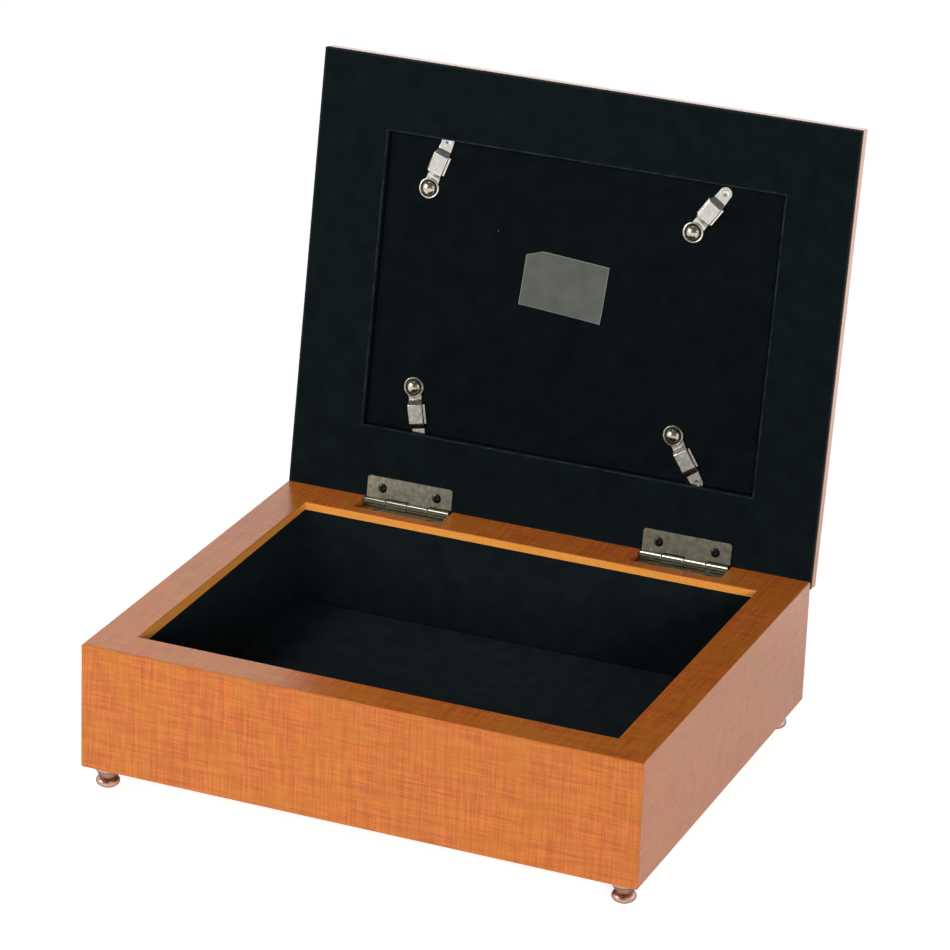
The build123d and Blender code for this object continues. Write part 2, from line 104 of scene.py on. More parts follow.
stainedWood = {
    "light": "E07A33",          # orange-brown glaze where it is thin
    "gold": "D9822C",           # where it has yellowed
    "dark": "BC5A24",           # the same glaze in the dragged lines
    "streak": "7A3D1A",         # umber that collects in the longer drags
    "lip": ("FFAE52", "FF9F40"),  # cut edges round the opening, where the glaze is thinnest
    "primer": "0F1213",         # black inside the lid's rebate
    "hatchPitch": 0.62 * mm,    # dragged lines, brushed both ways
    "hatchLength": 15 * mm,
    "hatchShift": (7.3, 3.1, 0),  # sets the lines of the three directions apart
    "streakPitch": 2.1 * mm,
    "streakLength": 42 * mm,
    "streakShift": (4.4, 5.7, 1.9),
    "cloudSize": 34 * mm,
    "patchSize": 20 * mm,
    "roughness": 0.24,
    "sheen": "FFEACC",          # the lacquer has ambered
}


def insideBox(material, place, low, high):
    # 1 inside a box of the pattern's space, 0 outside it
    middle = [(a + b) / 2 for a, b in zip(low, high)]
    half = [(b - a) / 2 for a, b in zip(low, high)]
    offset = addNode(material, "VectorMath", {"operation": "SUBTRACT", 0: place, 1: middle})
    offset = addNode(material, "VectorMath", {"operation": "ABSOLUTE", 0: offset})
    offset = addNode(material, "SeparateXYZ", {0: offset}).outputs
    x, y, z = (addNode(material, "Math", {"operation": "LESS_THAN", 0: offset[k], 1: half[k]})
               for k in range(3))
    flat = addNode(material, "Math", {"operation": "MULTIPLY", 0: x, 1: y})
    return addNode(material, "Math", {"operation": "MULTIPLY", 0: flat, 1: z})


def makeStainedWood(name, turn, lips=(), primed=()):
    # Dragged orange glaze over a primed board, under satin lacquer: crossed fine lines like coarse
    # linen, a few umber drags along the boards, and a broad soft sheen at low angles.
    w = stainedWood
    material = newMaterial(name)
    coords = addNode(material, "TexCoord").outputs
    place = addNode(material, "Mapping", {"Vector": coords["Object"], "Rotation": (-turn, 0, 0)})
    facing = addNode(material, "Mapping", {"vector_type": "NORMAL", "Vector": coords["Normal"],
                                           "Rotation": (-turn, 0, 0)})
    facing = addNode(material, "VectorMath", {"operation": "ABSOLUTE", 0: facing})
    facing = addNode(material, "SeparateXYZ", {0: facing}).outputs
    hatch = 0.0
    for axis in range(3):
        # lines along one axis, left out on the faces that look along it
        stretch = [1 / w["hatchPitch"]] * 3
        stretch[axis] = 1 / w["hatchLength"]
        lines = addNode(material, "Mapping", {"Vector": place, "Scale": stretch,
                                              "Location": [axis * k for k in w["hatchShift"]]})
        lines = addNode(material, "TexNoise", {"Vector": lines, "Scale": 1, "Detail": 1.5, "Roughness": 0.6})
        lines = addNode(material, "Math", {"operation": "SUBTRACT", 0: lines, 1: 0.5})
        share = addNode(material, "Math", {"operation": "SUBTRACT", 0: 1, 1: facing[axis]})
        lines = addNode(material, "Math", {"operation": "MULTIPLY", 0: lines, 1: share})
        hatch = addNode(material, "Math", {"operation": "ADD", 0: hatch, 1: lines})
    cloud = addNode(material, "TexNoise", {"Vector": place, "Scale": 1 / w["cloudSize"],
                                           "Detail": 3, "Roughness": 0.55})
    patches = addNode(material, "TexNoise", {"Vector": place, "Scale": 1 / w["patchSize"],
                                             "Detail": 2, "Roughness": 0.55})
    depth = addNode(material, "MapRange", {"Value": patches, "From Min": 0.35, "From Max": 0.65,
                                           "To Min": 0.55, "To Max": 1.35})
    hatch = addNode(material, "Math", {"operation": "MULTIPLY", 0: hatch, 1: depth})
    fresh = addNode(material, "MapRange", {"Value": patches, "From Min": 0.45, "From Max": 0.62})
    base = addNode(material, "Mix", {"data_type": "RGBA", 0: fresh, 6: w["gold"], 7: w["light"]}).outputs[2]
    depth = addNode(material, "MapRange", {"Value": hatch, "From Min": -0.26, "From Max": 0.3})
    base = addNode(material, "Mix", {"data_type": "RGBA", 0: depth, 6: base, 7: w["dark"]}).outputs[2]
    # umber drags along x on the faces seen from the front or above, along y on the sides
    streaks = 0.0
    for axis in (0, 1):
        stretch = [1 / w["streakPitch"]] * 3
        stretch[axis] = 1 / w["streakLength"]
        shiftX, shiftY, shiftZ = w["streakShift"]
        drags = addNode(material, "Mapping", {"Vector": place, "Scale": stretch,
                                              "Location": (shiftX, axis * shiftY, shiftZ)})
        drags = addNode(material, "TexNoise", {"Vector": drags, "Scale": 1, "Detail": 4, "Roughness": 0.7})
        drags = addNode(material, "MapRange", {"Value": drags, "From Min": 0.54, "From Max": 0.86})
        share = addNode(material, "Math", {"operation": "SUBTRACT", 0: 1, 1: facing[axis]})
        drags = addNode(material, "Math", {"operation": "MULTIPLY", 0: drags, 1: share})
        streaks = addNode(material, "Math", {"operation": "MAXIMUM", 0: streaks, 1: drags})
    cloud = addNode(material, "MapRange", {"Value": cloud, "From Min": 0.42, "From Max": 0.66})
    streaks = addNode(material, "Math", {"operation": "MULTIPLY", 0: streaks, 1: cloud})
    base = addNode(material, "Mix", {"data_type": "RGBA", 0: streaks, 6: base, 7: w["streak"]}).outputs[2]
    depth = addNode(material, "Math", {"operation": "ADD", 0: hatch, 1: streaks})
    depth = addNode(material, "MapRange", {"Value": depth, "From Min": -0.2, "From Max": 0.3})
    thin, thick = w["lip"]
    lip = addNode(material, "Mix", {"data_type": "RGBA", 0: depth, 6: thin, 7: thick}).outputs[2]
    for box, color in [(b, lip) for b in lips] + [(b, w["primer"]) for b in primed]:
        inside = insideBox(material, place, *box)
        base = addNode(material, "Mix", {"data_type": "RGBA", 0: inside, 6: base, 7: color}).outputs[2]
    bump = addNode(material, "Bump", {"Strength": 0.2, "Distance": 0.02 * mm, "Height": hatch})
    shader = addNode(material, "BsdfPrincipled", {"Base Color": base, "Normal": bump, "IOR": 1.64,
                                                  "Roughness": w["roughness"], "Specular Tint": w["sheen"]})
    addNode(material, "OutputMaterial", {"Surface": shader})
    return material


# one black velvet in four tones: inside the box the lining, and the floor most of all, are painted lighter than
# the lid as painted light, for the little light that reaches them
blackVelvet = {
    "lid": "101719",
    "board": "0D1214",
    "lining": "161D20",
    "floor": "232B2F",
    "lint": "7C8688",
    # painted sheen: the paler tone along the velvet's edge round the board, where it catches light
    "edgeHighlight": "273234",
    "bloom": "8FB0B4",          # cool light on the tips of the pile
    "napSize": 9 * mm,          # patches where the pile lies another way
    "edgeSheenPatchSize": 6.43 * mm,
    "fibreSize": 0.45 * mm,     # coarser than the real pile, so that it shows
    "lintSpacing": 17 * mm,
    "lintRadius": 0.33 * mm,
}


def makeBlackVelvet(place, edgeSheenBox=None):
    # Flocked velvet: almost no shine, a faint cool bloom where the pile turns, and specks of lint.
    # The last argument is a box of its pattern's space, turned like the lid, in which a paler tone is
    # painted as sheen along the velvet's edge.
    v = blackVelvet
    pile = v[place]
    material = newMaterial("blackVelvet" + place.capitalize())
    place = addNode(material, "TexCoord").outputs["Object"]
    specks = addNode(material, "TexVoronoi", {"Vector": place, "Scale": 1 / v["lintSpacing"]}).outputs
    near = addNode(material, "MapRange", {"Value": specks["Distance"], "From Max": 0,
                                          "From Min": v["lintRadius"] / v["lintSpacing"]})
    some = addNode(material, "SeparateColor", {0: specks["Color"]})
    some = addNode(material, "Math", {"operation": "GREATER_THAN", 0: some, 1: 0.7})
    near = addNode(material, "Math", {"operation": "MULTIPLY", 0: near, 1: some})
    nap = addNode(material, "TexNoise", {"Vector": place, "Scale": 1 / v["napSize"],
                                         "Detail": 3, "Roughness": 0.55})
    nap = addNode(material, "MapRange", {"Value": nap, "From Min": 0.3, "From Max": 0.7,
                                         "To Min": 0.82, "To Max": 1.18})
    base = addNode(material, "Mix", {"data_type": "RGBA", "blend_type": "MULTIPLY",
                                     0: 1, 6: pile, 7: nap}).outputs[2]
    base = addNode(material, "Mix", {"data_type": "RGBA", 0: near, 6: base, 7: v["lint"]}).outputs[2]
    # painted sheen along the velvet's edge round the board, in patches
    if edgeSheenBox:
        turned = addNode(material, "Mapping", {"Vector": place, "Rotation": (-lidTurn, 0, 0)})
        patchy = addNode(material, "TexNoise", {"Vector": place, "Scale": 1 / v["edgeSheenPatchSize"],
                                                "Detail": 3, "Roughness": 0.55})
        patchy = addNode(material, "MapRange", {"Value": patchy, "From Min": 0.35, "From Max": 0.65,
                                                "To Min": 0.1, "To Max": 1})
        inside = insideBox(material, turned, *edgeSheenBox)
        patchy = addNode(material, "Math", {"operation": "MULTIPLY", 0: inside, 1: patchy})
        base = addNode(material, "Mix", {"data_type": "RGBA", 0: patchy, 6: base, 7: v["edgeHighlight"]}).outputs[2]
    fibre = addNode(material, "TexNoise", {"Vector": place, "Scale": 1 / v["fibreSize"],
                                           "Detail": 2, "Roughness": 0.55})
    bump = addNode(material, "Bump", {"Strength": 0.5, "Distance": 0.15 * mm, "Height": fibre})
    shader = addNode(material, "BsdfPrincipled", {"Base Color": base, "Normal": bump, "Roughness": 0.95,
                                                  "Specular IOR Level": 0.03, "Sheen Weight": 0.02,
                                                  "Sheen Roughness": 0.5, "Sheen Tint": v["bloom"]})
    addNode(material, "OutputMaterial", {"Surface": shader})
    return material


platedMetal = {
    "edgeHighlight": "F4F1E6",         # edges painted bright, a painted highlight
    "edgeHighlightRoughness": 0.2,
    "gritSize": 0.35 * mm,
    # hinge leaves: old nickel clouded grey-green, polished round the barrels by turning
    "antiqueNickelPlate": {"plate": "D0D0BA", "tarnishAndEdgeShade": "3C3F35", "roughness": 0.34,
                           "spotSize": 2.6 * mm, "cover": 0.64, "rim": 0, "polish": 0.1},
    # hinge screws, and the painted shade in the clips' eyes: near black
    "blackenedSteel": {"plate": "4A4948", "tarnishAndEdgeShade": "100F10", "roughness": 0.25,
                       "spotSize": 0.9 * mm, "cover": 0.8, "rim": 0.9},
    # front clips: bright and even
    "brightNickelPlate": {"plate": "FBF9F0", "tarnishAndEdgeShade": "A09B8A", "roughness": 0.2,
                          "spotSize": 1.8 * mm, "cover": 0.35, "rim": 0},
    # rear clips: the same plate painted darker, as painted shade for the dark box they mirror
    "nickelPlatePaintedShade": {"plate": "C4C2B6", "tarnishAndEdgeShade": "6E6A5C", "roughness": 0.24,
                          "spotSize": 1.8 * mm, "cover": 0.5, "rim": 0},
    # rivets: domes that mirror the room, painted brown at their edges as shade
    "wornNickelDome": {"plate": "E2DAC4", "tarnishAndEdgeShade": "4A453B", "roughness": 0.19,
                       "spotSize": 1.5 * mm, "cover": 0.35, "rim": 0.95},
    # feet: copper with soft highlights, painted nearly black at their edges as shade
    "antiqueCopperPlate": {"plate": "DFB29B", "tarnishAndEdgeShade": "241210", "roughness": 0.3,
                           "spotSize": 1.8 * mm, "cover": 0.4, "rim": 1},
}


def makeMetal(name, barrel=None):
    # Plated metal: bright where it is rubbed, clouded by a dull dark patina where it isn't. rim is how
    # far surfaces seen edge-on are painted darker in the patina's colour, as painted shade. barrel is a
    # point of an axis along x and a radius, inside which turning has polished the metal. Faces that a
    # hinge piece marks with a face attribute are edges painted bright, as a painted highlight.
    m = {**platedMetal, **platedMetal[name]}
    material = newMaterial(name)
    place = addNode(material, "TexCoord").outputs["Object"]
    cover = addNode(material, "TexNoise", {"Vector": place, "Scale": 1 / m["spotSize"],
                                           "Detail": 5, "Roughness": 0.65})
    cover = addNode(material, "MapRange", {"Value": cover, "From Min": 0.36, "From Max": 0.72,
                                           "To Max": m["cover"]})
    # painted shade: surfaces seen edge-on take the patina's colour, as far as rim says
    edge = addNode(material, "LayerWeight", {"Blend": 0.5}).outputs["Facing"]
    edge = addNode(material, "MapRange", {"Value": edge, "From Min": 0.25, "From Max": 0.8,
                                          "To Max": m["rim"]})
    dark = addNode(material, "Math", {"operation": "MAXIMUM", 0: cover, 1: edge})
    base = addNode(material, "Mix", {"data_type": "RGBA", 0: dark, 6: m["plate"], 7: m["tarnishAndEdgeShade"]}).outputs[2]
    rough = addNode(material, "MapRange", {"Value": cover, "To Min": m["roughness"],
                                           "To Max": m["roughness"] + 0.2})
    far = 1.0
    if barrel:
        center, radius = barrel
        away = addNode(material, "VectorMath", {"operation": "SUBTRACT", 0: place, 1: center})
        away = addNode(material, "VectorMath", {"operation": "MULTIPLY", 0: away, 1: (0, 1, 1)})
        away = addNode(material, "VectorMath", {"operation": "LENGTH", 0: away}).outputs["Value"]
        far = addNode(material, "Math", {"operation": "GREATER_THAN", 0: away, 1: radius})
        rough = addNode(material, "Mix", {"data_type": "FLOAT", 0: far, 2: m["polish"], 3: rough})
        base = addNode(material, "Mix", {"data_type": "RGBA", 0: far, 6: m["plate"], 7: base}).outputs[2]
    # painted highlight: faces marked by the hinge pieces take bright metal
    edgeHighlight = addNode(material, "Attribute", {"attribute_name": "edgeHighlight"}).outputs["Fac"]
    base = addNode(material, "Mix", {"data_type": "RGBA", 0: edgeHighlight, 6: base, 7: m["edgeHighlight"]}).outputs[2]
    rough = addNode(material, "Mix", {"data_type": "FLOAT", 0: edgeHighlight, 2: rough, 3: m["edgeHighlightRoughness"]})
    grit = addNode(material, "TexNoise", {"Vector": place, "Scale": 1 / m["gritSize"],
                                          "Detail": 2, "Roughness": 0.55})
    grit = addNode(material, "Math", {"operation": "MULTIPLY", 0: grit, 1: far})
    bump = addNode(material, "Bump", {"Strength": 0.25, "Distance": 0.02 * mm, "Height": grit})
    shader = addNode(material, "BsdfPrincipled", {"Metallic": 1, "Base Color": base, "Roughness": rough,
                                                  "Normal": bump})
    addNode(material, "OutputMaterial", {"Surface": shader})
    return material


boards = {
    # the lid's back and the board in its opening, the bottom, and the blank picture card
    "blackenedHardboard": {"colors": ("0C0E0F", "15181A"), "fibre": 0.5 * mm, "roughness": 0.8},
    "bareBoard": {"colors": ("A77E54", "8A6440"), "fibre": 0.4 * mm, "roughness": 0.75},
    "matBoard": {"colors": ("DAD7CF", "CFCBC2"), "fibre": 0.3 * mm, "roughness": 0.85},
}


def makeBoard(name):
    # Pressed or sawn board: short fibres lying flat, matt.
    b = boards[name]
    fibre, (light, dark) = b["fibre"], b["colors"]
    material = newMaterial(name)
    place = addNode(material, "TexCoord").outputs["Object"]
    fibres = addNode(material, "Mapping", {"Vector": place, "Scale": (1 / (fibre * 8), 1 / fibre, 1 / fibre)})
    fibres = addNode(material, "TexNoise", {"Vector": fibres, "Scale": 1, "Detail": 4, "Roughness": 0.6})
    base = addNode(material, "Mix", {"data_type": "RGBA", 0: fibres, 6: light, 7: dark}).outputs[2]
    bump = addNode(material, "Bump", {"Strength": 0.4, "Distance": 0.05 * mm, "Height": fibres})
    shader = addNode(material, "BsdfPrincipled", {"Base Color": base, "Normal": bump, "IOR": 1.45,
                                                  "Roughness": b["roughness"]})
    addNode(material, "OutputMaterial", {"Surface": shader})
    return material


floatGlass = {"tint": "F4FBF8", "waveSize": 60 * mm, "waveDepth": 0.05 * mm, "roughness": 0.02}


def makeGlass():
    # Float glass: clear with a trace of green. It lets the light through to the card behind it.
    g = floatGlass
    material = newMaterial("floatGlass")
    place = addNode(material, "TexCoord").outputs["Object"]
    wave = addNode(material, "TexNoise", {"Vector": place, "Scale": 1 / g["waveSize"],
                                          "Detail": 1, "Roughness": 0.55})
    bump = addNode(material, "Bump", {"Strength": 0.05, "Distance": g["waveDepth"], "Height": wave})
    shader = addNode(material, "BsdfPrincipled", {"Base Color": g["tint"], "Roughness": g["roughness"],
                                                  "IOR": 1.52, "Transmission Weight": 1, "Normal": bump})
    through = addNode(material, "BsdfTransparent", {"Color": g["tint"]})
    shadow = addNode(material, "LightPath").outputs["Is Shadow Ray"]
    surface = addNode(material, "MixShader", {0: shadow, 1: shader, 2: through})
    addNode(material, "OutputMaterial", {"Surface": surface})
    return material


coatedTagCard = {"light": "63665C", "dark": "3F4440", "frayed": "8C8E84", "cloudSize": 9 * mm}


def makeTagCard():
    # Coated grey tag card: cloudy print, a weak sheen, and pale fibres at its cut edges.
    c = coatedTagCard
    material = newMaterial("coatedTagCard")
    place = addNode(material, "TexCoord").outputs["Object"]
    cloud = addNode(material, "TexNoise", {"Vector": place, "Scale": 1 / c["cloudSize"],
                                           "Detail": 3, "Roughness": 0.6})
    base = addNode(material, "Mix", {"data_type": "RGBA", 0: cloud, 6: c["dark"], 7: c["light"]}).outputs[2]
    edge = addNode(material, "Attribute", {"attribute_name": "edge"}).outputs["Fac"]
    base = addNode(material, "Mix", {"data_type": "RGBA", 0: edge, 6: base, 7: c["frayed"]}).outputs[2]
    shader = addNode(material, "BsdfPrincipled", {"Base Color": base, "Roughness": 0.45, "IOR": 1.45})
    addNode(material, "OutputMaterial", {"Surface": shader})
    return material


# the lip round the body's opening, and inside the lid the black rebate and the band of painted sheen
# along the velvet's edge round the board, as boxes of the pattern's space
markedPlaces = {
    "lipRound": 0.3 * mm,       # the lip's own rounding keeps the glaze of the rim
    "rebate": (6 * mm, 7 * mm),  # how far black goes past the glass, across the lid and along it
    "rebateFront": 0.2 * mm,    # and in front of the glass
    "rebateBack": 1 * mm,
    "velvetEdge": (1.3 * mm, 1.3 * mm, 8 * mm),
    "barrelReach": 0.2 * mm,
}
innerLow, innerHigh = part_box("floor_liner")
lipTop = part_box("front_wall")[1][2] - markedPlaces["lipRound"]
lipBox = ((innerLow[0], innerLow[1], 0), (innerHigh[0], innerHigh[1], lipTop))
lidPatternSpace = Matrix.Rotation(-lidTurn, 4, "X") @ lidSpace
railHigh = lidBox("lid_front_rail")[1]
glassLow, glassHigh = lidBox("window_glass")
rebateX, rebateY = markedPlaces["rebate"]
rebateLow = glassLow - Vector((rebateX, rebateY, markedPlaces["rebateFront"]))
rebateHigh = Vector((glassHigh.x + rebateX, glassHigh.y + rebateY, railHigh.z + markedPlaces["rebateBack"]))
primedBox = (lidPatternSpace @ rebateLow, lidPatternSpace @ rebateHigh)
# the band of painted sheen round the board's velvet
boardLow, boardHigh = lidBox("board_velvet")
velvetEdge = Vector(markedPlaces["velvetEdge"])
velvetEdgeSheenBox = (lidPatternSpace @ (boardLow - velvetEdge), lidPatternSpace @ (boardHigh + velvetEdge))
# the polished barrels reach a little past their own radius
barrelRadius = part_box("left_hinge_base_leaf")[1][2] - lidHinge["pos_m"][2] + markedPlaces["barrelReach"]

bodyWood = makeStainedWood("glazedWoodBody", 0, lips=[lipBox])
lidWood = makeStainedWood("glazedWoodLid", lidTurn, primed=[primedBox])
lidVelvet = makeBlackVelvet("lid", edgeSheenBox=velvetEdgeSheenBox)
boardVelvet = makeBlackVelvet("board")
liningVelvet = makeBlackVelvet("lining")
floorVelvet = makeBlackVelvet("floor")
hingeMetal = makeMetal("antiqueNickelPlate", barrel=(lidHinge["pos_m"], barrelRadius))
screwMetal = makeMetal("blackenedSteel")
clipMetal = makeMetal("brightNickelPlate")
rearClipShadedMetal = makeMetal("nickelPlatePaintedShade")
domeMetal = makeMetal("wornNickelDome")
footMetal = makeMetal("antiqueCopperPlate")
glass = makeGlass()
tagCard = makeTagCard()

slotMaterials = {
    "stained_wood": bodyWood,
    "bottom_board": makeBoard("bareBoard"),
    "black_velvet": liningVelvet,
    "foot_copper": footMetal,
    "plain_steel": hingeMetal,
    "hinge_brass": hingeMetal,
    "dark_hardboard": makeBoard("blackenedHardboard"),
    "window_glass": glass,
    "picture_card": makeBoard("matBoard"),
    "label_paper": tagCard,
    "clip_nickel": clipMetal,
}
for name, node in nodes.items():
    node.data.materials.clear()
    node.data.materials.append(lidWood if name.endswith("_rail") else slotMaterials[slotOf[name]])
print("materials:", len(bpy.data.materials))


# pieces

smallestEdge = 0.002 * mm       # points nearer than this are one


def nodeShape(node):
    # a CAD node's form as closed shells with whole flat faces
    shape = bmesh.new()
    shape.from_mesh(nodes[node].data)
    bmesh.ops.remove_doubles(shape, verts=shape.verts[:], dist=smallestEdge)
    bmesh.ops.dissolve_limit(shape, angle_limit=math.radians(1), verts=shape.verts[:], edges=shape.edges[:])
    return shape


def bevelEdges(shape, edges, width, segments):
    return bmesh.ops.bevel(shape, geom=edges, offset=width, offset_type="OFFSET", affect="EDGES",
                           segments=segments, profile=0.5, clamp_overlap=True, material=-1)


def easeEdges(shape, width, segments, sharper=math.radians(28)):
    # rounds the edges that turn by more than an angle
    edges = [e for e in shape.edges if len(e.link_faces) == 2 and e.calc_face_angle() > sharper]
    return bevelEdges(shape, edges, width, segments)


def lathe(shape, profile, place, steps):
    # turns a profile of (radius, height) in millimetres about Z, and puts the result in its place
    turned = bmesh.new()
    ring = [turned.verts.new((r * mm, 0, z * mm)) for r, z in profile]
    edges = [turned.edges.new(pair) for pair in zip(ring, ring[1:])]
    bmesh.ops.spin(turned, geom=ring + edges, cent=(0, 0, 0), axis=(0, 0, 1), dvec=(0, 0, 0),
                   angle=2 * math.pi, steps=steps, use_merge=True, use_duplicate=False)
    bmesh.ops.remove_doubles(turned, verts=turned.verts[:], dist=smallestEdge)
    bmesh.ops.recalc_face_normals(turned, faces=turned.faces[:])
    turned.transform(place)
    made = bpy.data.meshes.new("turned")
    turned.to_mesh(made)
    turned.free()
    shape.from_mesh(made)
    bpy.data.meshes.remove(made)


flatArea = 6 * mm * mm          # a face larger than this keeps its own flat shading


def addPiece(name, shape, material, *replaced, sharp=35, body=None, slot=None):
    # makes the shape an object that rides a body and stands for the nodes it replaces
    data = bpy.data.meshes.new(name)
    shape.edges.index_update()
    around = [e.index for e in shape.edges if any(f.calc_area() > flatArea for f in e.link_faces)]
    shape.to_mesh(data)
    shape.free()
    data.shade_smooth()
    data.set_sharp_from_angle(angle=math.radians(sharp))
    for index in around:
        data.edges[index].use_edge_sharp = True
    data.materials.append(material)
    piece = bpy.data.objects.new(name, data)
    bpy.context.scene.collection.objects.link(piece)
    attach(piece, body or bodyOf[replaced[0]])
    if replaced:
        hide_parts(*replaced)
    return piece


lining = {"edgeRadius": 0.9 * mm, "segments": 4}


def makeLining():
    # velvet pulled over boards: their edges are soft
    for node in ("floor_liner", "front_liner", "rear_liner", "left_liner", "right_liner"):
        shape = nodeShape(node)
        easeEdges(shape, lining["edgeRadius"], lining["segments"])
        velvet = floorVelvet if node == "floor_liner" else liningVelvet
        addPiece(node.replace("liner", "velvet_board"), shape, velvet, node, sharp=60)


lidCloth = {"edgeRadius": 0.14 * mm, "segments": 3}


def makeLidCloth():
    # cloth glued flat to the lid's two boards, with its cut edges eased
    for node, board in (("lid_velvet", "lid_back_panel"), ("board_velvet", "backing_board")):
        shape = nodeShape(node)
        area = sum(f.calc_area() for f in shape.faces if f.normal.dot(lidSpace.col[2].xyz) > 0.99)
        easeEdges(shape, lidCloth["edgeRadius"], lidCloth["segments"])
        velvet = lidVelvet if node == "lid_velvet" else boardVelvet
        piece = addPiece(node + "_cloth", shape, velvet, node, sharp=60)


turnedFoot = {                  # millimetres
    "steps": 64,
    "padRadius": 1.25,
    "ballRadius": 5.0,
    "ballHalfHeight": 2.95,
    "neckRadius": 3.7,
    "collarRadius": 5.6,
    "collarEdge": 2.0,
    "collarHollow": 0.1,
    "collarEase": 0.12,
    "arcPoints": 18,
}


def footProfile(height):
    f = turnedFoot
    ballZ = f["ballHalfHeight"] * math.sqrt(1 - (f["padRadius"] / f["ballRadius"]) ** 2)
    low = -math.acos(f["padRadius"] / f["ballRadius"])
    high = math.acos(f["neckRadius"] / f["ballRadius"])
    points = [(0, 0)]
    for k in range(f["arcPoints"] + 1):
        angle = low + (high - low) * k / f["arcPoints"]
        points.append((f["ballRadius"] * math.cos(angle), ballZ + f["ballHalfHeight"] * math.sin(angle)))
    neckZ = points[-1][1]
    edgeZ = height - f["collarEdge"]
    for k in range(1, f["arcPoints"] // 2 + 1):
        t = k / (f["arcPoints"] // 2)
        bow = f["collarHollow"] * 4 * t * (1 - t)
        points.append((f["neckRadius"] + (f["collarRadius"] - f["neckRadius"]) * t - bow,
                       neckZ + (edgeZ - neckZ) * t + bow))
    ease = f["collarEase"]
    points += [(f["collarRadius"], height - ease), (f["collarRadius"] - ease, height), (0, height)]
    return points


def makeFeet():
    for node in [n for n in nodes if n.startswith("foot_") and n != "foot_studs"]:
        low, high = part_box(node)
        shape = bmesh.new()
        center = Matrix.Translation(((low[0] + high[0]) / 2, (low[1] + high[1]) / 2, 0))
        lathe(shape, footProfile((high[2] - low[2]) / mm), center, turnedFoot["steps"])
        addPiece("turned_" + node, shape, footMetal, node)


rivetForm = {                   # millimetres
    "steps": 40,
    "headRadius": 3.0,
    "rimHeight": 0.3,
    "rimEase": 0.1,
    "headHeight": 1.9,
    "standoff": 0.65,           # from the board's velvet to the head, over the clip
    "shankRadius": 1.25,
    "washerRadius": 2.2,
    "washerThick": 0.4,
    "arcPoints": 10,
}


def clipPlace(corner):
    # at the rivet: z along its axis, out of the velvet, and x across the lid
    joint = jointOf[corner + "_clip_pivot"]
    return Matrix.Translation(joint["pos_m"]) @ Matrix.Rotation(lidTurn, 4, "X")


clipCorners = ("front_left", "front_right", "rear_left", "rear_right")


def makeRivets():
    r = rivetForm
    shape = bmesh.new()
    rivetLow = lidBox("clip_rivets")[0]
    pivot = lidFromWorld @ Vector(jointOf["rear_left_clip_pivot"]["pos_m"])
    foot = (rivetLow.z - pivot.z) / mm
    washer = foot + r["washerThick"]
    rim = r["standoff"] + r["rimHeight"]
    dome = r["headHeight"] - r["rimHeight"]
    profile = [(0, foot), (r["washerRadius"], foot), (r["washerRadius"], washer), (r["shankRadius"], washer),
               (r["shankRadius"], r["standoff"]), (r["headRadius"] - r["rimEase"], r["standoff"]),
               (r["headRadius"], r["standoff"] + r["rimEase"]), (r["headRadius"], rim)]
    for k in range(1, r["arcPoints"]):
        angle = math.pi / 2 * k / r["arcPoints"]
        profile.append((r["headRadius"] * math.cos(angle), rim + dome * math.sin(angle)))
    profile.append((0, rim + dome))
    for corner in clipCorners:
        lathe(shape, profile, clipPlace(corner), r["steps"])
    addPiece("domed_rivets", shape, domeMetal, "clip_rivets", sharp=50)


# painted shade: a near-black ring laid in each clip's eye, where shade falls round the rivet
eyeShadeRing = {"low": 0.6, "high": 0.64, "radius": 3.72, "hole": 2.0, "steps": 40}  # millimetres


def makeEyeShadeRing():
    # painted shade: a dark ring in each clip's dished eye, between the rivet's dome and the eye's raised rim
    g = eyeShadeRing
    shape = bmesh.new()
    profile = [(g["hole"], g["low"]), (g["hole"], g["high"]), (g["radius"], g["high"]),
               (g["radius"], g["low"]), (g["hole"], g["low"])]
    for corner in clipCorners:
        lathe(shape, profile, clipPlace(corner), g["steps"])
    addPiece("eye_painted_shade", shape, screwMetal, body=bodyOf["clip_rivets"], slot=slotOf["clip_rivets"])


clipForm = {
    "edgeRadius": 0.13 * mm,
    "segments": 3,
    "crownRadius": 0.42 * mm,   # pressed bridge
    "crownSegments": 5,
    "crownDepth": 0.05 * mm,    # its edges are those this near the top that turn by more than this
    "crownTurn": 0.5,           # many radians
    "rimRadius": 4.15,          # raised rim round the eye, in millimetres
    "rimThick": 0.45,
    "level": 0.65,
    "rimPoints": 12,
    "steps": 48,
}


def makeClips():
    c = clipForm
    ring = []
    for k in range(c["rimPoints"] + 1):
        angle = 2 * math.pi * k / c["rimPoints"]
        ring.append((c["rimRadius"] + c["rimThick"] * math.cos(angle),
                     c["level"] + c["rimThick"] * math.sin(angle)))
    for corner in clipCorners:
        node = "clip_" + corner
        shape = nodeShape(node)
        fromPlace = clipPlace(corner).inverted()
        crownLow = max((fromPlace @ v.co).z for v in shape.verts) - c["crownDepth"]
        crown = [e for e in shape.edges if e.calc_face_angle() > c["crownTurn"]
                 and min((fromPlace @ v.co).z for v in e.verts) > crownLow]
        bevelEdges(shape, crown, c["crownRadius"], c["crownSegments"])
        easeEdges(shape, c["edgeRadius"], c["segments"])
        lathe(shape, ring, clipPlace(corner), c["steps"])
        # the rear clips take the plate painted darker, as painted shade
        metal = clipMetal if corner.startswith("front") else rearClipShadedMetal
        addPiece("turn_" + node, shape, metal, node, sharp=40)


hingeForm = {
    "edge": 0.38 * mm,
    "sharper": math.radians(60),
    "knuckleEnd": 0.45 * mm,
    "knuckleTurn": 1.2,         # radians that its edges turn by
    "roll": 0.35 * mm,          # how near the barrel's surface an edge of a knuckle is
    "screwEdge": 0.07 * mm,
}


